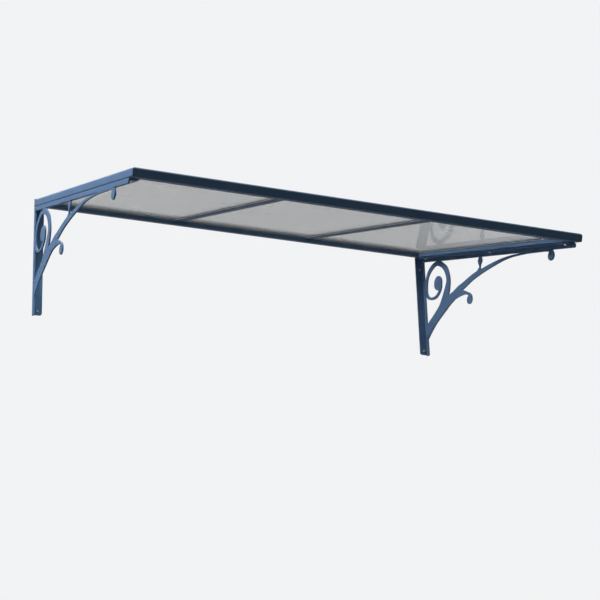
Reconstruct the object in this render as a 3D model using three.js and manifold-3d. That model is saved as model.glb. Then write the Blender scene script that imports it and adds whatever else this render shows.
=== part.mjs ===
import * as THREE from 'three';
import { mergeVertices } from 'three/addons/utils/BufferGeometryUtils.js';
import Module from 'manifold-3d';

// Door canopy: a sloping glazed frame of mitred rails on two scroll brackets.
// Millimetres. X runs along the width, -Y towards the front, +Z up. The origin is in the middle
// of the back face of the seal behind the wall rail.

const wasm = await Module();
wasm.setup();

// Whole canopy
const canopyWidth = 1400;
const roofLength = 940;
const roofPitch = THREE.MathUtils.degToRad(15);
const paneCount = 3;

// Rail section: a hollow box with a groove for the glazing on its inner side
const railBoxWidth = 21;
const grooveDepth = 15;
const railWidth = railBoxWidth + grooveDepth;
const railHeight = 25.5;
const railWall = 2;
const lipWall = 1.8;
const railCorner = 4;
const grooveBottom = 12.5;
const lipThickness = 2.3;
const mitreSetback = 0.2;

// Glazing
const paneThickness = 4;
const gasketThickness = 1.2;
const gasketShow = 1.5;
const glazingClearance = 0.2;
const grooveHeight = paneThickness + 2 * gasketThickness + 4 * glazingClearance;

// Glazing bars
const barWidth = 24;
const barWeb = 3;
const barFlange = 2;
const barTongue = 12;

// Seal behind the wall rail
const sealThickness = 2;
const sealRise = 2.5;
const sealHeight = railHeight * Math.cos(roofPitch);

// Scroll bracket
const bracketDrop = 356;
const seatSetback = 26;
const seatLength = roofLength - seatSetback;
const plateThickness = 5;
const wallStrip = 15;
const armStrip = 14;
const wallEndRadius = 3;
const armEndRadius = 5;
const weldStep = 0.3;
const shortestEdge = 0.05;
const flangeWidth = 31;
const flangeThickness = 4;
const flangeCorner = 8;
const eyeRadius = 25;
const budRadius = 15.5;
const seatGap = 0.3;

// Fasteners
const railScrew = { head: 8.5, rise: 3, shank: 4.2, length: 14, socket: 3.6, sunk: 1.6 };
const wallScrew = { head: 11, rise: 4, shank: 6, length: 30, socket: 5, sunk: 2.2 };
const cornerScrew = { head: 6, rise: 0.8, shank: 3.5, length: 13, socket: 2.6, sunk: 0.5 };
const holeClearance = 0.3;
const screwGap = 0.2;
const screwToGroove = 5.5;
const screwInset = railBoxWidth - screwToGroove;
const railScrewFirst = 49;
const railScrewEnd = 37;
const railScrewCount = 3;
const wallScrewEdge = 17;
const wallScrewTop = 44;
const cornerScrewEdge = 16;
const cornerScrewHeight = 19;
const cleatLeg = 38;
const cleatClearance = 0.3;

// Straight pieces to a curve: on outlines that show, on rails, on small edges and round a screw
const curveSteps = 8;
const railSteps = 5;
const discSteps = 16;
const edgeSteps = 3;
const screwSteps = 12;

const coating = { color: 0x5b7698, roughness: 0.5, metalness: 0.1 };
const finishes = {
  coated: coating,
  glass: { color: 0xdfe6ea, roughness: 0.06, metalness: 0, transparent: true, opacity: 0.35 },
  rubber: { color: 0x1a1c1f, roughness: 0.8, metalness: 0 },
  seal: { color: 0x5f6468, roughness: 0.85, metalness: 0 },
  zinc: { color: 0xb9bcbf, roughness: 0.35, metalness: 0.9 },
  dark: { color: 0x2c3238, roughness: 0.5, metalness: 0.6 },
};

// Solids

function toSolid(geometry) {
  const bare = geometry.clone();
  bare.deleteAttribute('normal');
  bare.deleteAttribute('uv');
  const merged = mergeVertices(bare, 1e-4);
  const mesh = new wasm.Mesh({
    numProp: 3,
    vertProperties: new Float32Array(merged.attributes.position.array),
    triVerts: new Uint32Array(merged.index.array),
  });
  return new wasm.Manifold(mesh);
}

function toGeometry(solid) {
  const mesh = solid.getMesh();
  const geometry = new THREE.BufferGeometry();
  geometry.setAttribute('position', new THREE.BufferAttribute(mesh.vertProperties, 3));
  geometry.setIndex(new THREE.BufferAttribute(mesh.triVerts, 1));
  geometry.computeVertexNormals();
  return geometry;
}

function union(geometries) {
  return geometries.map(toSolid).reduce((whole, next) => whole.add(next));
}

function cut(geometry, tools) {
  const start = toSolid(geometry);
  return toGeometry(tools.map(toSolid).reduce((whole, tool) => whole.subtract(tool), start));
}

function box(x, y, z) {
  const geometry = new THREE.BoxGeometry(x[1] - x[0], y[1] - y[0], z[1] - z[0]);
  return geometry.translate((x[0] + x[1]) / 2, (y[0] + y[1]) / 2, (z[0] + z[1]) / 2);
}

function extrude(shape, depth, curveSegments = curveSteps) {
  return new THREE.ExtrudeGeometry(shape, { depth, bevelEnabled: false, curveSegments });
}

// Flips a closed shape over along the axes given as -1
function mirror(geometry, x, y, z) {
  const mirrored = mergeVertices(geometry.clone(), 1e-4).scale(x, y, z);
  if (x * y * z > 0) return mirrored;
  const index = mirrored.index;
  for (let i = 0; i < index.count; i += 3) {
    const first = index.getX(i);
    index.setX(i, index.getX(i + 2));
    index.setX(i + 2, first);
  }
  mirrored.computeVertexNormals();
  return mirrored;
}

function addPiece(parent, name, geometry, finish) {
  const mesh = new THREE.Mesh(geometry, new THREE.MeshStandardMaterial(finishes[finish]));
  mesh.name = name;
  parent.add(mesh);
  return mesh;
}

// Outline with rounded corners: each point is [x, y, radius]
function roundedOutline(points) {
  const shape = new THREE.Shape();
  points.forEach(([x, y, radius], i) => {
    const here = new THREE.Vector2(x, y);
    const before = new THREE.Vector2(...points.at(i - 1));
    const after = new THREE.Vector2(...points[(i + 1) % points.length]);
    const back = before.sub(here).normalize();
    const ahead = after.sub(here).normalize();
    const half = Math.acos(THREE.MathUtils.clamp(back.dot(ahead), -1, 1)) / 2;
    const reach = radius / Math.tan(half);
    const start = here.clone().addScaledVector(back, reach);
    const end = here.clone().addScaledVector(ahead, reach);
    if (i === 0) {
      shape.moveTo(start.x, start.y);
    } else {
      shape.lineTo(start.x, start.y);
    }
    if (radius > 0) {
      const middle = back.clone().add(ahead).normalize().multiplyScalar(radius / Math.sin(half)).add(here);
      const from = Math.atan2(start.y - middle.y, start.x - middle.x);
      const to = Math.atan2(end.y - middle.y, end.x - middle.x);
      shape.absarc(middle.x, middle.y, radius, from, to, back.cross(ahead) > 0);
    }
  });
  return shape;
}

// Rails

function railSection() {
  const step = railBoxWidth;
  const grooveTop = grooveBottom + grooveHeight;
  const lipTop = grooveTop + lipThickness;
  const shape = roundedOutline([
    [0, 0, railCorner],
    [railWidth, 0, 1],
    [railWidth, grooveBottom, 0.5],
    [railWidth - grooveDepth, grooveBottom, 0],
    [railWidth - grooveDepth, grooveTop, 0],
    [railWidth, grooveTop, 0.5],
    [railWidth, lipTop, 1],
    [step, lipTop, 0],
    [step, railHeight, 1],
    [0, railHeight, railCorner],
  ]);
  const inner = railCorner - railWall;
  shape.holes.push(roundedOutline([
    [railWall, railWall, inner],
    [railWall, railHeight - railWall, inner],
    [step - railWall, railHeight - railWall, 0],
    [step - railWall, railWall, 0],
  ]));
  shape.holes.push(roundedOutline([
    [step, lipWall, 0],
    [step, grooveBottom - lipWall, 0],
    [railWidth - lipWall, grooveBottom - lipWall, 0],
    [railWidth - lipWall, lipWall, 0],
  ]));
  return shape;
}

function mitredRail(length) {
  const geometry = extrude(railSection(), length, railSteps);
  const position = geometry.attributes.position;
  for (let i = 0; i < position.count; i++) {
    const setback = position.getX(i) + mitreSetback;
    const atStart = position.getZ(i) < length / 2;
    position.setZ(i, atStart ? setback : length - setback);
  }
  return geometry;
}

function cylinderAlong(axis, radius, from, to, centre) {
  const geometry = new THREE.CylinderGeometry(radius, radius, to - from, screwSteps);
  geometry.translate(0, (from + to) / 2, 0);
  if (axis === 'x') geometry.rotateZ(-Math.PI / 2);
  if (axis === 'z') geometry.rotateX(Math.PI / 2);
  return geometry.translate(...centre);
}

// Distances along the slope, from its upper end, of the screws that hold a side rail down
function railScrewPlaces() {
  const pitch = (seatLength - railScrewEnd - railScrewFirst) / (railScrewCount - 1);
  return Array.from({ length: railScrewCount }, (_, i) => railScrewFirst + i * pitch);
}

function cornerScrewPlaces() {
  return [cornerScrewEdge, roofLength - cornerScrewEdge];
}

function sideRail(placeAlong) {
  const seatHoles = railScrewPlaces().map((s) => cylinderAlong(
    'y', railScrew.shank / 2 + holeClearance, -1, railWall + 1, [screwInset, 0, placeAlong(s)]));
  const sideHoles = cornerScrewPlaces().flatMap((s) => [
    cylinderAlong('x', cornerScrew.shank / 2 + holeClearance, -1, railWall + 1,
      [0, cornerScrewHeight, placeAlong(s)]),
    cylinderAlong('x', cornerScrew.head / 2 + holeClearance, -1, cornerScrew.rise + 2 * screwGap,
      [0, cornerScrewHeight, placeAlong(s)]),
  ]);
  return cut(mitredRail(roofLength), [...seatHoles, ...sideHoles]);
}

function placeRail(mesh, x, y, turn) {
  mesh.rotation.set(Math.PI / 2, 0, turn, 'ZYX');
  mesh.position.set(x, y, 0);
}

function addRails(roof) {
  const edge = canopyWidth / 2;
  const left = addPiece(roof, 'left_rail', sideRail((s) => s), 'coated');
  placeRail(left, -edge, 0, 0);
  const front = addPiece(roof, 'front_rail', mitredRail(canopyWidth), 'coated');
  placeRail(front, -edge, -roofLength, Math.PI / 2);
  const right = addPiece(roof, 'right_rail', sideRail((s) => roofLength - s), 'coated');
  placeRail(right, edge, -roofLength, Math.PI);
  const wall = addPiece(roof, 'wall_rail', mitredRail(canopyWidth), 'coated');
  placeRail(wall, edge, 0, -Math.PI / 2);
}

// Corner cleats fill the rails' outer hollow on both sides of a mitre
function cornerCleat() {
  const near = railWall + cleatClearance;
  const far = railBoxWidth - railWall - cleatClearance;
  const end = near + cleatLeg;
  const outline = roundedOutline([
    [near, near, 0],
    [end, near, 1],
    [end, far, 1],
    [far, far, 0],
    [far, end, 1],
    [near, end, 1],
  ]);
  const block = extrude(outline, railHeight - 2 * railCorner, edgeSteps).translate(0, 0, railCorner);
  const hole = cylinderAlong('x', cornerScrew.shank / 2 + holeClearance, 0, railBoxWidth,
    [0, cornerScrewEdge, cornerScrewHeight]);
  return cut(block, [hole]);
}

function addCleats(roof) {
  const cleat = cornerCleat();
  for (const [side, x] of [['left', 1], ['right', -1]]) {
    for (const [end, y] of [['front', 1], ['wall', -1]]) {
      const mesh = addPiece(roof, `corner_cleat_${end}_${side}`, mirror(cleat, x, y, 1), 'zinc');
      mesh.position.set(-x * canopyWidth / 2, y > 0 ? -roofLength : 0, 0);
    }
  }
}

// Panes, each with a rubber channel round its rim

// The bay between two rails or bars: where its grooves end, and where their faces are
function bay(index) {
  const pitch = canopyWidth / paneCount;
  const bar = (i) => -canopyWidth / 2 + i * pitch;
  const side = (i, inward) => {
    const atRail = i === 0 || i === paneCount;
    return {
      groove: bar(i) + inward * (atRail ? railBoxWidth : barWeb / 2),
      face: bar(i) + inward * (atRail ? railWidth : barWidth / 2),
    };
  };
  return { left: side(index, 1), right: side(index + 1, -1) };
}

function bayBox(index, inset, showing, height) {
  const { left, right } = bay(index);
  const reach = showing ? 'face' : 'groove';
  const alongSlope = showing ? railWidth : railBoxWidth;
  return box(
    [left[reach] + inset, right[reach] - inset],
    [-roofLength + alongSlope + inset, -alongSlope - inset],
    height,
  );
}

function paneHeights() {
  const bottom = grooveBottom + gasketThickness + 2 * glazingClearance;
  return [bottom, bottom + paneThickness];
}

function pane(index) {
  return bayBox(index, gasketThickness + 2 * glazingClearance, false, paneHeights());
}

function paneGasket(index) {
  const [bottom, top] = paneHeights();
  const outer = glazingClearance + gasketThickness;
  const rim = bayBox(index, glazingClearance, false, [bottom - outer, top + outer]);
  const slot = bayBox(index, outer, false, [bottom - glazingClearance, top + glazingClearance]);
  const opening = bayBox(index, gasketShow, true, [0, railHeight]);
  return cut(rim, [slot, opening]);
}

function addGlazing(roof) {
  const names = ['left', 'middle', 'right'];
  for (let i = 0; i < paneCount; i++) {
    addPiece(roof, `pane_${names[i]}`, pane(i), 'glass');
    addPiece(roof, `pane_gasket_${names[i]}`, paneGasket(i), 'rubber');
  }
}

// Glazing bars: an H section whose web runs on into the rails' grooves
function glazingBar() {
  const top = grooveBottom + grooveHeight;
  const half = barWidth / 2;
  const web = barWeb / 2;
  const section = roundedOutline([
    [-half, grooveBottom - barFlange, 0.6],
    [half, grooveBottom - barFlange, 0.6],
    [half, grooveBottom, 0],
    [web, grooveBottom, 0],
    [web, top, 0],
    [half, top, 0],
    [half, top + barFlange, 0.6],
    [-half, top + barFlange, 0.6],
    [-half, top, 0],
    [-web, top, 0],
    [-web, grooveBottom, 0],
    [-half, grooveBottom, 0],
  ]);
  const start = railWidth + seatGap;
  const bar = extrude(section, roofLength - 2 * start, edgeSteps);
  bar.rotateX(Math.PI / 2).translate(0, -start, 0);
  const tongueStart = railWidth - barTongue;
  const tongue = box(
    [-web, web],
    [-roofLength + tongueStart, -tongueStart],
    [grooveBottom + glazingClearance, top - glazingClearance],
  );
  return toGeometry(union([bar, tongue]));
}

function addGlazingBars(roof) {
  for (let i = 1; i < paneCount; i++) {
    const bar = addPiece(roof, `glazing_bar_${i}`, glazingBar(), 'coated');
    bar.position.x = -canopyWidth / 2 + i * canopyWidth / paneCount;
  }
}

// Wedge-shaped seal behind the sloping wall rail, with an upright back
function wallSeal(bottom) {
  const thin = sealThickness - seatGap;
  const lean = railHeight * Math.sin(roofPitch);
  const top = bottom + sealHeight;
  const section = roundedOutline([
    [0, bottom + 2 * seatGap, 0],
    [0, top + sealRise, 0.8],
    [thin + lean, top, 0.5],
    [thin + 2 * seatGap * Math.tan(roofPitch), bottom + 2 * seatGap, 0],
  ]);
  return extrude(section, canopyWidth, edgeSteps).translate(0, 0, -canopyWidth / 2);
}

// Scroll bracket, drawn with x forward from its back, y up and z inward from its outer face.
// Its top edge starts at the back at height 0 and falls with the roof.

const alongArm = new THREE.Vector3(Math.cos(roofPitch), -Math.sin(roofPitch), 0);
const acrossArm = new THREE.Vector3(-Math.sin(roofPitch), -Math.cos(roofPitch), 0);

function armPoint(along, below) {
  return alongArm.clone().multiplyScalar(along).addScaledVector(acrossArm, below);
}

function plateOutline() {
  const armTop = (x) => -x * Math.tan(roofPitch);
  const topDrop = weldStep / Math.cos(roofPitch);
  const armDrop = armStrip / Math.cos(roofPitch);
  const end = armPoint(seatLength, weldStep);
  const endBelow = armPoint(seatLength, armStrip);
  return roundedOutline([
    [weldStep, armTop(weldStep) - topDrop, 0],
    [weldStep, -bracketDrop, wallEndRadius],
    [wallStrip, -bracketDrop, wallEndRadius],
    [wallStrip, armTop(wallStrip) - armDrop, wallEndRadius],
    [endBelow.x, endBelow.y, armEndRadius],
    [end.x, end.y, armEndRadius],
  ]);
}

// A strip at right angles to the scroll plate, with a row of screw holes
function flange(from, to, holes, holeRadius) {
  const root = plateThickness / 2;
  const shape = roundedOutline([
    [from, root, 0],
    [to, root, 0],
    [to, flangeWidth, flangeCorner],
    [from, flangeWidth, 0],
  ]);
  for (const along of holes) {
    const hole = new THREE.Path();
    hole.absarc(along, screwInset, holeRadius, 0, 2 * Math.PI, true);
    shape.holes.push(hole);
  }
  return extrude(shape, flangeThickness);
}

const inward = new THREE.Vector3(0, 0, 1);
const down = new THREE.Vector3(0, -1, 0);
const towardsWall = new THREE.Vector3(-1, 0, 0);

function wallScrewPlaces() {
  return [wallScrewTop, bracketDrop - wallScrewEdge];
}

function wallFlange() {
  const turn = new THREE.Matrix4().makeBasis(down, inward, towardsWall).setPosition(flangeThickness, 0, 0);
  const strip = flange(flangeThickness / 2, bracketDrop - wallEndRadius, wallScrewPlaces(),
    wallScrew.shank / 2 + holeClearance);
  return strip.applyMatrix4(turn);
}

// How far along the bracket's top edge the frame's own edge begins
const seatStart = sealThickness / Math.cos(roofPitch) - seatGap * Math.tan(roofPitch);

function armFlange() {
  const turn = new THREE.Matrix4().makeBasis(alongArm, inward, acrossArm);
  const start = flangeThickness * Math.tan(roofPitch) + weldStep;
  const holes = railScrewPlaces().map((s) => s + seatStart);
  const strip = flange(start, seatLength - armEndRadius, holes, railScrew.shank / 2 + holeClearance);
  return strip.applyMatrix4(turn);
}

// A flat band along a smooth curve: each point is [forward, height, width]
function band(points, steps) {
  const curve = new THREE.CatmullRomCurve3(points.map((p) => new THREE.Vector3(...p)));
  const left = [];
  const right = [];
  for (let i = 0; i <= steps; i++) {
    const point = curve.getPoint(i / steps);
    const next = curve.getPoint(Math.min(i / steps + 0.002, 1));
    const last = curve.getPoint(Math.max(i / steps - 0.002, 0));
    const side = new THREE.Vector2(last.y - next.y, next.x - last.x).setLength(point.z / 2);
    left.push(new THREE.Vector2(point.x + side.x, point.y + side.y));
    right.unshift(new THREE.Vector2(point.x - side.x, point.y - side.y));
  }
  return extrude(new THREE.Shape([...left, ...right]), plateThickness);
}

function disc(x, y, radius) {
  const shape = new THREE.Shape();
  shape.absarc(x, y, radius, 0, 2 * Math.PI, false);
  return extrude(shape, plateThickness, discSteps);
}

// The big scroll: out of the trunk, over against the arm, down beside the wall strip and in to the eye
function bigScroll() {
  const turns = band([
    [84, -228, 24], [113, -211, 28], [136, -187, 30], [154, -166, 33], [162, -149, 28], [167, -134, 23.5],
    [165.5, -113, 21], [155.5, -88, 21], [137.5, -69, 18], [112, -52.5, 20], [93, -49.5, 16],
    [72, -53, 17], [46.5, -65.5, 16.5], [30, -86, 14], [21.5, -113, 16], [22.5, -139, 14],
    [37, -157, 10], [62, -165.5, 9.5], [86, -165, 11], [103, -156, 12], [115, -143, 12.5], [119, -131, 10],
  ], 96);
  return [turns, disc(100.5, -121.5, eyeRadius)];
}

// The trunk from the foot of the wall strip, running out into the branch, which ends along the arm
function branch() {
  return band([
    [0, -283, 44], [40, -257, 40], [70, -241.5, 37.5], [98, -228, 39], [130, -215, 39], [163, -203, 36],
    [197, -195, 31], [226, -186, 29], [255, -179.7, 24], [285, -173.8, 22], [316, -168.2, 20.5],
    [343, -165.5, 19.5], [380, -164, 16.5], [420, -163, 15], [460, -163.3, 12.7], [500, -164.5, 10],
    [546, -169.5, 7.5], [590, -177, 7], [640, -187.5, 6.5], [690, -200, 7], [728, -208.5, 9],
    [750, -214, 13],
  ], 60);
}

function lowerCurl() {
  const stem = band([
    [186, -201, 20], [222, -199.5, 19], [252, -201.5, 17], [268, -206.5, 12], [281, -212.5, 9.5],
    [294, -221, 11], [302, -232, 11],
  ], 20);
  return [stem, disc(291, -236.5, budRadius)];
}

function bud() {
  return band([
    [373, -106, 14], [371.5, -115, 15], [368.5, -127, 24], [366, -138, 12], [365.5, -146, 5.5],
    [361, -154, 11], [350, -162, 15],
  ], 24);
}

function frontCurl() {
  return [band([[738, -211, 11], [752, -215, 12], [762, -222, 10], [768, -231, 8], [766, -240, 6]], 12),
    disc(757.5, -235.5, budRadius)];
}

// Both flanges stand a hair proud of the plate's edge, as welded strips do
function bracket() {
  const behindStrip = box([-bracketDrop, wallStrip / 2], [-bracketDrop, 0], [-1, plateThickness + 1]);
  const scrolls = union([...bigScroll(), branch(), ...lowerCurl(), bud(), ...frontCurl()]);
  const frame = union([extrude(plateOutline(), plateThickness), wallFlange(), armFlange()]);
  return toGeometry(frame.add(scrolls.subtract(toSolid(behindStrip))).simplify(shortestEdge));
}

function addBrackets(canopy, top) {
  const shape = bracket();
  const left = addPiece(canopy, 'left_bracket', mirror(shape, 1, 1, -1), 'coated');
  const right = addPiece(canopy, 'right_bracket', shape, 'coated');
  for (const [mesh, x] of [[left, -canopyWidth / 2], [right, canopyWidth / 2]]) {
    mesh.rotation.set(Math.PI / 2, 0, -Math.PI / 2, 'ZYX');
    mesh.position.set(x, 0, top);
  }
}

// Screws: a low domed head with a hexagon socket, on the +Y axis with the head's seat at 0
function screw({ head, rise, shank, length, socket, sunk }) {
  const profile = [
    [0, -length],
    [shank / 2 - 0.6, -length],
    [shank / 2, -length + 1],
    [shank / 2, 0],
    [head / 2, 0],
    [head / 2, rise * 0.35],
    [head * 0.42, rise * 0.75],
    [head * 0.28, rise],
    [0, rise],
  ].map(([x, y]) => new THREE.Vector2(x, y));
  const body = new THREE.LatheGeometry(profile, screwSteps);
  const recess = new THREE.CylinderGeometry(socket / 2, socket / 2, sunk * 2, 6).translate(0, rise, 0);
  return cut(body, [recess]);
}

const sides = [['left', -1], ['right', 1]];

function addRailScrews(roof) {
  const shape = screw(railScrew);
  for (const [side, sign] of sides) {
    railScrewPlaces().forEach((s, i) => {
      const mesh = addPiece(roof, `rail_screw_${side}_${i + 1}`, shape, 'zinc');
      mesh.rotation.x = -Math.PI / 2;
      mesh.position.set(sign * (canopyWidth / 2 - screwInset), -s, -seatGap - flangeThickness - screwGap);
    });
  }
}

function addWallScrews(canopy, top) {
  const shape = screw(wallScrew);
  for (const [side, sign] of sides) {
    wallScrewPlaces().forEach((drop, i) => {
      const mesh = addPiece(canopy, `wall_screw_${side}_${i === 0 ? 'upper' : 'lower'}`, shape, 'zinc');
      mesh.rotation.z = Math.PI;
      mesh.position.set(sign * (canopyWidth / 2 - screwInset), -flangeThickness - screwGap, top - drop);
    });
  }
}

function addCornerScrews(roof) {
  const shape = screw(cornerScrew);
  const seat = canopyWidth / 2 - cornerScrew.rise - screwGap;
  for (const [side, sign] of sides) {
    cornerScrewPlaces().forEach((s, i) => {
      const mesh = addPiece(roof, `corner_screw_${i === 0 ? 'wall' : 'front'}_${side}`, shape, 'dark');
      mesh.rotation.z = -sign * Math.PI / 2;
      mesh.position.set(sign * seat, -s, cornerScrewHeight);
    });
  }
}

// The canopy

const frameFoot = -sealHeight / 2;
const bracketTop = frameFoot + sealThickness * Math.tan(roofPitch) - seatGap / Math.cos(roofPitch);

const canopy = new THREE.Group();

const roof = new THREE.Group();
roof.position.set(0, -sealThickness, frameFoot);
roof.rotation.x = roofPitch;
canopy.add(roof);
addRails(roof);
addCleats(roof);
addGlazing(roof);
addGlazingBars(roof);
addRailScrews(roof);
addCornerScrews(roof);

const seal = addPiece(canopy, 'wall_seal', wallSeal(frameFoot), 'seal');
seal.rotation.set(Math.PI / 2, 0, -Math.PI / 2, 'ZYX');
addBrackets(canopy, bracketTop);
addWallScrews(canopy, bracketTop);

export default canopy;
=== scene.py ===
"""Sloping door canopy: a glazed frame of powder-coated rails on two scroll brackets."""

import math

import bmesh
import bpy
from mathutils import Matrix, Vector


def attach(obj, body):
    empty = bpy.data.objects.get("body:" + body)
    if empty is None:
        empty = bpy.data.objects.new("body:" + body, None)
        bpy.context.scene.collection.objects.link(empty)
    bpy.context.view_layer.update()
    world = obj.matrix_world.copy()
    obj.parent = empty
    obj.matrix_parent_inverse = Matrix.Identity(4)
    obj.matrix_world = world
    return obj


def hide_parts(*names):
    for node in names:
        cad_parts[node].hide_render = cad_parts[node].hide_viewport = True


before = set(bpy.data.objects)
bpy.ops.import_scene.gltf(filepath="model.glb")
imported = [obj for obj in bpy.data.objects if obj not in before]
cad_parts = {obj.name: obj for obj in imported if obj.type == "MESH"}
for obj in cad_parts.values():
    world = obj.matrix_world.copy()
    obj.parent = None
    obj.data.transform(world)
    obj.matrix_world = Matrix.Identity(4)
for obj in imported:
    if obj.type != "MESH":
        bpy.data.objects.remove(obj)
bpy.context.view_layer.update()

MM = 0.001
ROOF_PITCH = math.radians(15)
SIDES = {"left": -1, "right": 1}
DOWN_ROOF = Vector((0, -math.cos(ROOF_PITCH), -math.sin(ROOF_PITCH)))
ABOVE_ROOF = Vector((0, -math.sin(ROOF_PITCH), math.cos(ROOF_PITCH)))
ALONG = Vector((1, 0, 0))

# Colours, as sRGB hex
POWDER_BLUE = 0x59769D
POWDER_BLUE_PALE = 0x5F7CA2
PANE_GREY = 0x45494C
PANE_FILM = 0x5C5E5E
# Painted highlight: the pale grey that the coat turns towards on faces that look up
PAINTED_HIGHLIGHT_GREY = 0xC4C8CC
# Grey EPDM, laid paler as a painted sheen for where the channel lies in shade
PAINTED_SHEEN_EPDM_GREY = 0xAFB6BD
PAINTED_SHEEN_EPDM_PALE = 0xBCC2C8
SEAL_GREY = 0x6E7377
SEAL_DUST = 0x8C8F90
ZINC = 0xC3C7CA
ZINC_DULL = 0x8F969B
# Painted shade: a darker copy of the screws' zinc, for the wall screws that sit in shade
SHADED_ZINC = 0x8D949A
SHADED_ZINC_DULL = 0x666D74
BLACK_ZINC = 0x4A525A
BLACK_ZINC_DULL = 0x353B42
MILL_ALUMINIUM = 0xB5B8BA
MILL_ALUMINIUM_DULL = 0x9A9EA1
FLOOR_PALE = 0x7A7B7A
FLOOR_PALER = 0x818281
FLOOR_UNSEEN = 0x6C6A67
BACKDROP = 0xF2F3F4

# The part of a noise's range over which one colour turns into another, and other values of the materials
NOISE_LOW = 0.3
NOISE_HIGH = 0.7
# How far the painted highlight goes on a face that looks straight up
PAINTED_HIGHLIGHT_SHARE = 0.4
ZINC_HAZE = 0.12
FOAM_CELL_MM = 1.0

# How near to each other two corners are welded, on most pieces and on a bracket
WELD_MM = 0.02
BRACKET_WELD_MM = 0.25

# Edges that turn by more than this are rounded, and on a screw stay sharp
EDGE_SEGMENTS = 2
SHARP_EDGE = math.radians(35)
SCREW_SHARP_EDGE = math.radians(32)


def linear(colour):
    """An sRGB hex value as linear red, green, blue and full alpha."""
    channels = [(colour >> shift & 255) / 255 for shift in (16, 8, 0)]
    return [c / 12.92 if c <= 0.04045 else ((c + 0.055) / 1.055) ** 2.4 for c in channels] + [1.0]


def add_node(tree, kind, inputs=None, **properties):
    """Adds a node with its properties, and its inputs by name or number. An input holds a value, or follows
    an output or the first output of a node."""
    node = tree.nodes.new(kind)
    for name, value in properties.items():
        setattr(node, name, value)
    for key, source in (inputs or {}).items():
        if isinstance(source, bpy.types.Node):
            source = source.outputs[0]
        if isinstance(source, bpy.types.NodeSocket):
            tree.links.new(source, node.inputs[key])
        else:
            node.inputs[key].default_value = source
    return node


def math_node(tree, operation, first, second):
    """Works out one number from two, each of which is a value, an output or a node."""
    return add_node(tree, "ShaderNodeMath", {0: first, 1: second}, operation=operation)


def two_tone(tree, noise, *colours):
    """The first colour where the noise is low, turning into the second where it is high."""
    ramp = add_node(tree, "ShaderNodeValToRGB", {"Fac": noise})
    for stop, place, colour in zip(ramp.color_ramp.elements, (NOISE_LOW, NOISE_HIGH), colours):
        stop.position = place
        stop.color = linear(colour)
    return ramp


def new_material(name):
    """An empty material and its node tree."""
    material = bpy.data.materials.new(name)
    material.use_nodes = True
    material.node_tree.nodes.clear()
    return material, material.node_tree


def mottle(tree, size_mm, detail, stretch=(1, 1, 1)):
    """Blotches about size_mm across, fixed to the piece by its Object coordinates."""
    place = add_node(tree, "ShaderNodeTexCoord").outputs["Object"]
    mapped = add_node(tree, "ShaderNodeMapping", {"Vector": place, "Scale": stretch})
    return add_node(tree, "ShaderNodeTexNoise", {
        "Vector": mapped, "Scale": 1 / (size_mm * MM), "Detail": detail, "Roughness": 0.55})


# Materials

def powder_coat():
    """Baked polyester powder on aluminium: satin, with a fine orange peel, faint cloudiness and a painted highlight on
    what faces up, a paler grey that stands for the sky's sheen on the upper rounds. Real orange peel is about 1 mm
    across, and is drawn at 2.5 mm so that it shows."""
    material, tree = new_material("satin_powder_coat")
    cloud = mottle(tree, size_mm=70, detail=4)
    blue = two_tone(tree, cloud, POWDER_BLUE, POWDER_BLUE_PALE)
    normal = add_node(tree, "ShaderNodeNewGeometry").outputs["Normal"]
    # Painted highlight: the more a face looks up, the more its blue turns pale grey, as if lit by the sky
    upward = add_node(tree, "ShaderNodeSeparateXYZ", {0: normal}).outputs["Z"]
    highlight_share = add_node(tree, "ShaderNodeMapRange", {
        "Value": upward, "From Min": 0.1, "From Max": 0.95, "To Max": PAINTED_HIGHLIGHT_SHARE})
    highlighted = add_node(tree, "ShaderNodeMix", {0: highlight_share, 6: blue, 7: linear(PAINTED_HIGHLIGHT_GREY)}, data_type="RGBA")
    satin = add_node(tree, "ShaderNodeMapRange", {"Value": cloud, "To Min": 0.42, "To Max": 0.54})
    peel = add_node(tree, "ShaderNodeBump", {
        "Height": mottle(tree, size_mm=2.5, detail=1), "Distance": 0.06 * MM, "Strength": 0.35})
    shader = add_node(tree, "ShaderNodeBsdfPrincipled", {
        "Base Color": highlighted.outputs[2], "Roughness": satin, "Normal": peel, "IOR": 1.5, "Specular IOR Level": 0.02})
    add_node(tree, "ShaderNodeOutputMaterial", {"Surface": shader})
    return material


def clear_sheet():
    """Clear 4 mm sheet with a thin film of dust: clear from above or below, and a grey veil at a glance
    along it. The clear part is let through by alpha, and the film scatters what passes it. The film's IOR is
    low, so that it bends and reflects little, and the coat over it has the sheet's gloss."""
    material, tree = new_material("dusty_clear_sheet")
    film = mottle(tree, size_mm=160, detail=4, stretch=(1.0, 2.2, 1.0))
    veil = two_tone(tree, film, PANE_GREY, PANE_FILM)
    slant = add_node(tree, "ShaderNodeLayerWeight", {"Blend": 0.5}).outputs["Facing"]
    depth = add_node(tree, "ShaderNodeMapRange", {
        "Value": slant, "From Min": 0.4, "From Max": 0.95, "To Min": 0.42, "To Max": 0.7})
    patches = add_node(tree, "ShaderNodeMapRange", {"Value": film, "To Min": 0.88, "To Max": 1.08})
    cover = math_node(tree, "MULTIPLY", depth, patches)
    shader = add_node(tree, "ShaderNodeBsdfPrincipled", {
        "Base Color": veil, "Alpha": cover, "Roughness": 0.6, "IOR": 1.15, "Specular IOR Level": 0.0,
        "Transmission Weight": 1.0, "Coat Weight": 0.3, "Coat Roughness": 0.02, "Coat IOR": 1.5})
    add_node(tree, "ShaderNodeOutputMaterial", {"Surface": shader})
    return material


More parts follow.
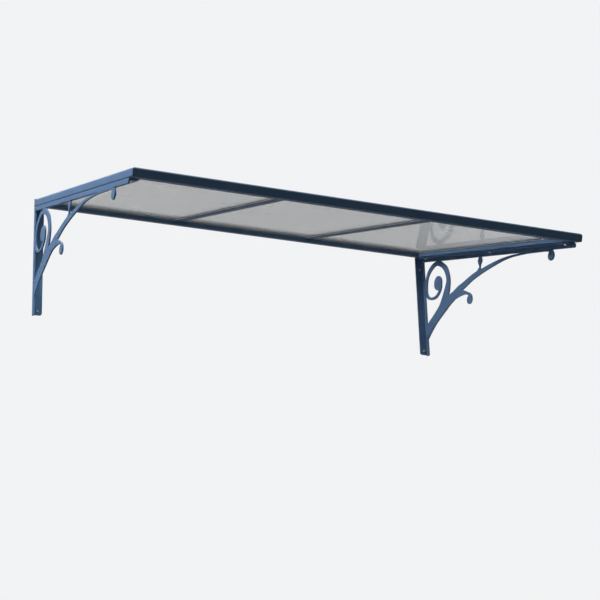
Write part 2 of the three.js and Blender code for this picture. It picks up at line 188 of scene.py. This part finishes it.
def epdm_rubber():
    """Extruded grey EPDM channel, its grey laid paler as a painted sheen that keeps it light in the shade under the
    rail lips: dull, with faint drag marks.
    """
    material, tree = new_material("epdm_gasket")
    drag = mottle(tree, size_mm=4, detail=2)
    # Painted sheen: the pale greys stand for light on the channel in the shade of the rail lips
    grey = two_tone(tree, drag, PAINTED_SHEEN_EPDM_GREY, PAINTED_SHEEN_EPDM_PALE)
    dull = add_node(tree, "ShaderNodeMapRange", {"Value": drag, "To Min": 0.55, "To Max": 0.75})
    marks = add_node(tree, "ShaderNodeBump", {"Height": drag, "Distance": 0.05 * MM, "Strength": 0.3})
    shader = add_node(tree, "ShaderNodeBsdfPrincipled", {
        "Base Color": grey, "Roughness": dull, "Normal": marks, "IOR": 1.5, "Specular IOR Level": 0.1})
    add_node(tree, "ShaderNodeOutputMaterial", {"Surface": shader})
    return material


def foam_seal():
    """Closed-cell foam strip: chalky grey, pitted by its cells."""
    material, tree = new_material("foam_wall_seal")
    place = add_node(tree, "ShaderNodeTexCoord").outputs["Object"]
    cells = add_node(tree, "ShaderNodeTexVoronoi", {"Vector": place, "Scale": 1 / (FOAM_CELL_MM * MM)})
    grey = two_tone(tree, mottle(tree, size_mm=25, detail=3), SEAL_GREY, SEAL_DUST)
    pits = add_node(tree, "ShaderNodeBump", {"Height": cells, "Distance": 0.15 * MM, "Strength": 0.3})
    shader = add_node(tree, "ShaderNodeBsdfPrincipled", {
        "Base Color": grey, "Normal": pits, "Roughness": 0.9, "IOR": 1.5, "Specular IOR Level": 0.2})
    add_node(tree, "ShaderNodeOutputMaterial", {"Surface": shader})
    return material


def zinc_plate(name, bright, dull, rough):
    """Zinc plate on steel: grey metal, slightly clouded by handling."""
    material, tree = new_material(name)
    cloud = mottle(tree, size_mm=3, detail=3)
    metal = two_tone(tree, cloud, dull, bright)
    haze = add_node(tree, "ShaderNodeMapRange", {"Value": cloud, "To Min": rough + ZINC_HAZE, "To Max": rough})
    dents = add_node(tree, "ShaderNodeBump", {"Height": cloud, "Distance": 0.02 * MM, "Strength": 0.3})
    shader = add_node(tree, "ShaderNodeBsdfPrincipled", {
        "Base Color": metal, "Roughness": haze, "Normal": dents, "Metallic": 1.0})
    add_node(tree, "ShaderNodeOutputMaterial", {"Surface": shader})
    return material


def mill_aluminium():
    """Sawn aluminium: bare metal with fine lines that run from front to back."""
    material, tree = new_material("mill_aluminium")
    lines = mottle(tree, size_mm=1.5, detail=2, stretch=(1.0, 0.05, 1.0))
    metal = two_tone(tree, lines, MILL_ALUMINIUM_DULL, MILL_ALUMINIUM)
    haze = add_node(tree, "ShaderNodeMapRange", {"Value": lines, "To Min": 0.35, "To Max": 0.5})
    shader = add_node(tree, "ShaderNodeBsdfPrincipled", {"Base Color": metal, "Roughness": haze, "Metallic": 1.0})
    add_node(tree, "ShaderNodeOutputMaterial", {"Surface": shader})
    return material


COAT = powder_coat()
SHEET = clear_sheet()
EPDM = epdm_rubber()
FOAM = foam_seal()
ALUMINIUM = mill_aluminium()
BRIGHT_SCREW = zinc_plate("bright_zinc", ZINC, ZINC_DULL, rough=0.28)
# Painted shade: the wall screws take the same zinc made darker, standing for the shade at the wall
SHADED_WALL_SCREW = zinc_plate("zinc_with_painted_shade", SHADED_ZINC, SHADED_ZINC_DULL, rough=0.4)
BLACK_SCREW = zinc_plate("black_zinc", BLACK_ZINC, BLACK_ZINC_DULL, rough=0.4)


# Pieces

def new_object(name, mesh):
    obj = bpy.data.objects.new(name, mesh)
    bpy.context.scene.collection.objects.link(obj)
    return obj


def plain_mesh(obj, name):
    """The object with its modifiers applied, as a new plain object; the old one goes."""
    graph = bpy.context.evaluated_depsgraph_get()
    mesh = bpy.data.meshes.new_from_object(obj.evaluated_get(graph))
    mesh.name = name
    bpy.data.objects.remove(obj)
    return new_object(name, mesh)


def bare_copy(node, weld_mm=WELD_MM):
    """A welded copy of a CAD node's mesh."""
    work = bmesh.new()
    work.from_mesh(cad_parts[node].data)
    bmesh.ops.remove_doubles(work, verts=work.verts, dist=weld_mm * MM)
    bmesh.ops.dissolve_degenerate(work, dist=weld_mm * MM, edges=work.edges)
    mesh = bpy.data.meshes.new(node + "_work")
    work.to_mesh(mesh)
    work.free()
    return new_object(node + "_work", mesh)


def soften(obj, edge_mm):
    """Rounds the sharp edges, and shades the rest smooth."""
    bevel = obj.modifiers.new("edges", "BEVEL")
    bevel.width = edge_mm * MM
    bevel.segments = EDGE_SEGMENTS
    bevel.limit_method = "ANGLE"
    bevel.angle_limit = SHARP_EDGE
    bevel.use_clamp_overlap = False
    bevel.miter_outer = "MITER_ARC"
    for polygon in obj.data.polygons:
        polygon.use_smooth = True
    normals = obj.modifiers.new("normals", "WEIGHTED_NORMAL")
    normals.keep_sharp = False


def finish_piece(obj, node, name, material, edge_mm):
    """The object, with rounded edges and its material, stands for the CAD node from here on."""
    soften(obj, edge_mm)
    piece = plain_mesh(obj, name)
    piece.data.materials.clear()
    piece.data.materials.append(material)
    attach(piece, "root")
    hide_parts(node)


def dress(node, name, material, edge_mm, weld_mm=WELD_MM):
    finish_piece(bare_copy(node, weld_mm), node, name, material, edge_mm)


for side in SIDES:
    dress(f"{side}_bracket", f"{side}_scroll_bracket", COAT, edge_mm=0.7, weld_mm=BRACKET_WELD_MM)
for bar in ("glazing_bar_1", "glazing_bar_2"):
    dress(bar, f"coated_{bar}", COAT, edge_mm=0.25)
for place in ("left", "middle", "right"):
    dress(f"pane_{place}", f"{place}_sheet", SHEET, edge_mm=0.5)
    dress(f"pane_gasket_{place}", f"{place}_epdm_channel", EPDM, edge_mm=0.25)
dress("wall_seal", "foam_strip", FOAM, edge_mm=0.4)
for end in ("front", "wall"):
    for side in SIDES:
        dress(f"corner_cleat_{end}_{side}", f"{end}_{side}_cleat", ALUMINIUM, edge_mm=0.3)

# Rails: the upper outer edge is a wide round, which catches the light

BROW_RADIUS = 6.4 * MM
BROW_STEPS = 7
BROW_MARGIN = 1.0 * MM
BROW_REACH = 0.1


def brow_cutter(obj, along, outward):
    """A long bar that takes the corner off between a rail's outer face and its top."""
    points = [v.co for v in obj.data.vertices]
    corner = outward * max(p.dot(outward) for p in points) + ABOVE_ROOF * max(p.dot(ABOVE_ROOF) for p in points)
    low, high = (pick(p.dot(along) for p in points) for pick in (min, max))
    quarter = [math.pi / 2 * (1 - i / BROW_STEPS) for i in range(BROW_STEPS + 1)]
    section = [(BROW_RADIUS * (math.cos(a) - 1), BROW_RADIUS * (math.sin(a) - 1)) for a in quarter]
    section += [(BROW_MARGIN, -BROW_RADIUS), (BROW_MARGIN, BROW_MARGIN), (-BROW_RADIUS, BROW_MARGIN)]
    work = bmesh.new()
    ends = [[work.verts.new(corner + along * reach + outward * out + ABOVE_ROOF * up) for out, up in section]
            for reach in (low - BROW_REACH, high + BROW_REACH)]
    for i in range(len(section)):
        work.faces.new((ends[0][i - 1], ends[0][i], ends[1][i], ends[1][i - 1]))
    for end in ends:
        work.faces.new(end)
    bmesh.ops.recalc_face_normals(work, faces=work.faces)
    mesh = bpy.data.meshes.new("brow_cutter")
    work.to_mesh(mesh)
    work.free()
    return new_object("brow_cutter", mesh)


RAILS = {"left": (DOWN_ROOF, -ALONG), "right": (DOWN_ROOF, ALONG), "front": (ALONG, DOWN_ROOF),
         "wall": (ALONG, -DOWN_ROOF)}
for place, (along, outward) in RAILS.items():
    rail = bare_copy(f"{place}_rail")
    cutter = brow_cutter(rail, along, outward)
    brow = rail.modifiers.new("brow", "BOOLEAN")
    brow.object = cutter
    rail = plain_mesh(rail, f"{place}_rail_work")
    bpy.data.objects.remove(cutter)
    finish_piece(rail, f"{place}_rail", f"{place}_coated_rail", COAT, edge_mm=0.3)

# Screws: pan heads with a hexagon socket, and a thread that runs up to the head

SCREW_SIZES = ("Head Radius", "Rise", "Shank Radius", "Length", "Pitch", "Thread Depth", "Socket Radius", "Sunk")
HEAD_SIDES = 32
HEAD_RINGS = 6
SOCKET_SIDES = 6
SHAFT_SIDES = 16
THREAD_SIDES = 4
THREAD_STEPS = 20

# How far a head narrows at its top and how late, and a tip's length in shank radii and its end in core radii
HEAD_ROUNDING = 0.42
ROUNDING_POWER = 3.0
TIP_LENGTH = 1.2
TIP_WIDTH = 0.25


def screw_tree(material):
    """A tree that stands a screw on each point of its mesh, its head towards the point's outward vector."""
    tree = bpy.data.node_groups.new("socket_screws", "GeometryNodeTree")
    tree.interface.new_socket("Geometry", in_out="INPUT", socket_type="NodeSocketGeometry")
    for name in SCREW_SIZES:
        tree.interface.new_socket(name, in_out="INPUT", socket_type="NodeSocketFloat")
    tree.interface.new_socket("Geometry", in_out="OUTPUT", socket_type="NodeSocketGeometry")
    given = add_node(tree, "NodeGroupInput").outputs

    def raised(shape, height):
        """The shape, moved up its axis."""
        lift = add_node(tree, "ShaderNodeCombineXYZ", {"Z": height})
        return add_node(tree, "GeometryNodeTransform", {"Geometry": shape, "Translation": lift})

    # Head: a cylinder that narrows towards its top
    drum = add_node(tree, "GeometryNodeMeshCylinder", {
        "Radius": given["Head Radius"], "Depth": given["Rise"], "Vertices": HEAD_SIDES,
        "Side Segments": HEAD_RINGS})
    half_rise = math_node(tree, "MULTIPLY", given["Rise"], 0.5)
    place = add_node(tree, "GeometryNodeInputPosition")
    height = add_node(tree, "ShaderNodeSeparateXYZ", {0: place}).outputs["Z"]
    share = math_node(tree, "DIVIDE", height, given["Rise"])
    curve = math_node(tree, "POWER", share, ROUNDING_POWER)
    width = add_node(tree, "ShaderNodeMapRange", {"Value": curve, "To Min": 1.0, "To Max": 1 - HEAD_ROUNDING})
    narrow = add_node(tree, "ShaderNodeCombineXYZ", {"X": width, "Y": width, "Z": 1.0})
    domed = add_node(tree, "ShaderNodeVectorMath", {0: place, 1: narrow}, operation="MULTIPLY")
    pan = add_node(tree, "GeometryNodeSetPosition", {"Geometry": raised(drum, half_rise), "Position": domed})
    two_sunk = math_node(tree, "MULTIPLY", given["Sunk"], 2.0)
    socket = add_node(tree, "GeometryNodeMeshCylinder", {
        "Radius": given["Socket Radius"], "Depth": two_sunk, "Vertices": SOCKET_SIDES})
    head = add_node(tree, "GeometryNodeMeshBoolean", {0: pan, 1: raised(socket, given["Rise"])},
                    operation="DIFFERENCE")

    # Shaft: a core, a blunt point below it, and one thread wound round the core
    core_radius = math_node(tree, "SUBTRACT", given["Shank Radius"], given["Thread Depth"])
    tip = math_node(tree, "MULTIPLY", given["Shank Radius"], TIP_LENGTH)
    shaft = math_node(tree, "SUBTRACT", given["Length"], tip)
    middle = math_node(tree, "MULTIPLY", shaft, -0.5)
    foot = math_node(tree, "MULTIPLY", shaft, -1.0)
    end = math_node(tree, "MULTIPLY", given["Length"], -1.0)
    core = add_node(tree, "GeometryNodeMeshCylinder", {"Radius": core_radius, "Depth": shaft, "Vertices": SHAFT_SIDES})
    blunt = math_node(tree, "MULTIPLY", core_radius, TIP_WIDTH)
    point = add_node(tree, "GeometryNodeMeshCone", {
        "Radius Bottom": blunt, "Radius Top": core_radius, "Depth": tip, "Vertices": SHAFT_SIDES})
    turns = math_node(tree, "DIVIDE", shaft, given["Pitch"])
    helix = add_node(tree, "GeometryNodeCurveSpiral", {
        "Rotations": turns, "Start Radius": core_radius, "End Radius": core_radius, "Height": shaft,
        "Resolution": THREAD_STEPS})
    ridge = add_node(tree, "GeometryNodeCurvePrimitiveCircle", {
        "Radius": given["Thread Depth"], "Resolution": THREAD_SIDES})
    thread = add_node(tree, "GeometryNodeCurveToMesh", {
        "Curve": raised(helix, foot), "Profile Curve": ridge, "Fill Caps": True})

    whole = add_node(tree, "GeometryNodeJoinGeometry")
    for part in (head, raised(core, middle), raised(point, end), thread):
        tree.links.new(part.outputs[0], whole.inputs[0])
    outward = add_node(tree, "GeometryNodeInputNamedAttribute", {"Name": "outward"}, data_type="FLOAT_VECTOR")
    aim = add_node(tree, "FunctionNodeAlignRotationToVector", {"Vector": outward}, axis="Z")
    copies = add_node(tree, "GeometryNodeInstanceOnPoints", {
        "Points": given["Geometry"], "Instance": whole, "Rotation": aim})
    real = add_node(tree, "GeometryNodeRealizeInstances", {0: copies})
    painted = add_node(tree, "GeometryNodeSetMaterial", {"Geometry": real, "Material": material})
    add_node(tree, "NodeGroupOutput", {0: painted})
    return tree


def head_seat(node, outward, rise_mm):
    """Where a CAD screw's head sits: on the screw's axis, in the plane under its head."""
    turn = outward.to_track_quat("Z", "Y").to_matrix()
    local = [turn.inverted() @ v.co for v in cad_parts[node].data.vertices]
    low, high = ([pick(v[i] for v in local) for i in range(3)] for pick in (min, max))
    return turn @ Vector(((low[0] + high[0]) / 2, (low[1] + high[1]) / 2, high[2] - rise_mm * MM))


def add_screws(name, outward_of, material, sizes_mm):
    """One mesh of screws in place of the CAD nodes that outward_of names, each with its direction."""
    mesh = bpy.data.meshes.new(name)
    mesh.from_pydata([head_seat(node, way, sizes_mm["Rise"]) for node, way in outward_of.items()], [], [])
    directions = mesh.attributes.new("outward", "FLOAT_VECTOR", "POINT")
    for entry, way in zip(directions.data, outward_of.values()):
        entry.vector = way
    obj = new_object(name + "_places", mesh)
    maker = obj.modifiers.new("screws", "NODES")
    maker.node_group = screw_tree(material)
    for item in maker.node_group.interface.items_tree:
        if item.name in sizes_mm:
            maker[item.identifier] = sizes_mm[item.name] * MM
    screws = plain_mesh(obj, name)
    for polygon in screws.data.polygons:
        polygon.use_smooth = True
    screws.data.set_sharp_from_angle(angle=SCREW_SHARP_EDGE)
    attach(screws, "root")
    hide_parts(*outward_of)


# Sizes in millimetres, in the order of SCREW_SIZES
RAIL_SCREW = dict(zip(SCREW_SIZES, (4.25, 3.0, 2.1, 14.0, 1.4, 0.35, 1.8, 1.6)))
WALL_SCREW = dict(zip(SCREW_SIZES, (5.5, 4.0, 3.0, 30.0, 2.6, 0.6, 2.5, 2.2)))
CORNER_SCREW = dict(zip(SCREW_SIZES, (3.0, 0.8, 1.75, 13.0, 1.3, 0.3, 1.3, 0.5)))
add_screws("rail_screws", {f"rail_screw_{side}_{i}": -ABOVE_ROOF for side in SIDES for i in (1, 2, 3)},
           BRIGHT_SCREW, RAIL_SCREW)
add_screws("wall_screws", {f"wall_screw_{side}_{end}": Vector((0, -1, 0)) for side in SIDES
                           for end in ("upper", "lower")},
           SHADED_WALL_SCREW, WALL_SCREW)
add_screws("corner_screws", {f"corner_screw_{end}_{side}": ALONG * x for side, x in SIDES.items()
                             for end in ("front", "wall")},
           BLACK_SCREW, CORNER_SCREW)

# Camera, at the photograph's viewing angle

FOCAL_PX = 1495.87
FRAME_PX = 600
SENSOR_MM = 36
PRINCIPAL_PX = (298.24, 311.70)
YAW, PITCH, ROLL = (math.radians(a) for a in (26.164, 17.019, -1.795))
CAMERA_PLACE = Vector((-1.89455, -4.27856, -1.71785))

camera_data = bpy.data.cameras.new("camera")
camera_data.sensor_width = SENSOR_MM
camera_data.lens = FOCAL_PX / FRAME_PX * SENSOR_MM
camera_data.shift_x = (FRAME_PX / 2 - PRINCIPAL_PX[0]) / FRAME_PX
camera_data.shift_y = (PRINCIPAL_PX[1] - FRAME_PX / 2) / FRAME_PX
camera = new_object("camera", camera_data)
turn = Matrix.Rotation(-YAW, 4, "Z") @ Matrix.Rotation(math.pi / 2 + PITCH, 4, "X") @ Matrix.Rotation(ROLL, 4, "Z")
camera.matrix_world = Matrix.Translation(CAMERA_PLACE) @ turn
bpy.context.scene.camera = camera

# Floor, well below the canopy

FLOOR_DROP = 2.35
FLOOR_HALF = 14.0
FLOOR_GLOW = 0.74


def looked_at(tree):
    """1 for a ray from the camera, a reflection or a clear piece, else 0."""
    rays = add_node(tree, "ShaderNodeLightPath").outputs
    shown = math_node(tree, "MAXIMUM", rays["Is Camera Ray"], rays["Is Glossy Ray"])
    return math_node(tree, "MAXIMUM", shown, rays["Is Transmission Ray"])


def pale_floor():
    """Smooth pale screed with the faintest cloudiness: it looks pale, keeps the canopy's shadow,
    and throws little light back up."""
    material, tree = new_material("pale_floor")
    pale = two_tone(tree, mottle(tree, size_mm=900, detail=2), FLOOR_PALE, FLOOR_PALER)
    seen = looked_at(tree)
    paint = add_node(tree, "ShaderNodeMix", {0: seen, 6: linear(FLOOR_UNSEEN), 7: pale}, data_type="RGBA")
    glow = math_node(tree, "MULTIPLY", seen, FLOOR_GLOW)
    shader = add_node(tree, "ShaderNodeBsdfPrincipled", {
        "Base Color": paint.outputs[2], "Emission Color": linear(BACKDROP), "Emission Strength": glow,
        "Roughness": 0.85, "Specular IOR Level": 0.1})
    add_node(tree, "ShaderNodeOutputMaterial", {"Surface": shader})
    return material


floor_mesh = bpy.data.meshes.new("floor")
floor_corners = [(x * FLOOR_HALF, y * FLOOR_HALF, -FLOOR_DROP) for x, y in ((-1, -1), (1, -1), (1, 1), (-1, 1))]
floor_mesh.from_pydata(floor_corners, [], [(0, 1, 2, 3)])
floor_mesh.materials.append(pale_floor())
new_object("floor", floor_mesh)

# Light: a soft key from the left and above, weak fills, and a pale surround

CANOPY_MIDDLE = (0.0, -0.45, -0.2)
LEFT_PLATE = (-0.68, 0.0, -0.31)
PLATE_LAMP_PLACE = (-0.72, -2.0, -0.75)
PLATE_LAMP_WATTS = 60
PLATE_LAMP_BEAM = math.radians(13)
PLATE_LAMP_BLEND = 0.8
PLATE_LAMP_SIZE = 0.15
ROOM_FILL = 0.03
ROOM_TINT = (0.95, 1.0, 0.9, 1.0)
WARM = (1.0, 0.985, 0.96)
COOL = (0.96, 0.98, 1.0)
SHADE_TINT = (0.97, 1.0, 0.86)
PLATE_TINT = (0.8, 1.0, 0.93)


def add_lamp(name, kind, place, target, watts, tint):
    """A lamp that points at its target."""
    lamp = bpy.data.lights.new(name, kind)
    lamp.energy = watts
    lamp.color = tint
    obj = new_object(name, lamp)
    obj.location = place
    obj.rotation_euler = (Vector(target) - Vector(place)).to_track_quat("-Z", "Y").to_euler()
    return lamp


# Softboxes: name, place, width in metres, beam in degrees, watts, tint
for name, place, width, beam, watts, tint in (
        ("key", (-2.8, -1.05, 3.9), 1.2, 180, 345, WARM),
        ("left_fill", (-8.0, -1.7, -0.5), 2.0, 40, 7.2, WARM),
        ("back_fill", (6.5, 4.0, 2.2), 3.0, 50, 33, COOL),
        ("front_fill", (1.5, -4.5, -1.2), 3.0, 180, 8.5, SHADE_TINT)):
    softbox = add_lamp(name, "AREA", place, CANOPY_MIDDLE, watts, tint)
    softbox.shape = "DISK"
    softbox.size = width
    softbox.spread = math.radians(beam)

plate_lamp = add_lamp("left_plate_fill", "SPOT", PLATE_LAMP_PLACE, LEFT_PLATE, PLATE_LAMP_WATTS, PLATE_TINT)
plate_lamp.spot_size = PLATE_LAMP_BEAM
plate_lamp.spot_blend = PLATE_LAMP_BLEND
plate_lamp.shadow_soft_size = PLATE_LAMP_SIZE

world = bpy.data.worlds.new("studio")
bpy.context.scene.world = world
world.use_nodes = True
sky = world.node_tree
sky.nodes.clear()
fill = add_node(sky, "ShaderNodeBackground", {"Color": ROOM_TINT, "Strength": ROOM_FILL})
pale = add_node(sky, "ShaderNodeBackground", {"Color": linear(BACKDROP), "Strength": 1.0})
choose = add_node(sky, "ShaderNodeMixShader", {0: looked_at(sky), 1: fill, 2: pale})
add_node(sky, "ShaderNodeOutputWorld", {"Surface": choose})

bpy.context.scene.view_settings.view_transform = "Standard"
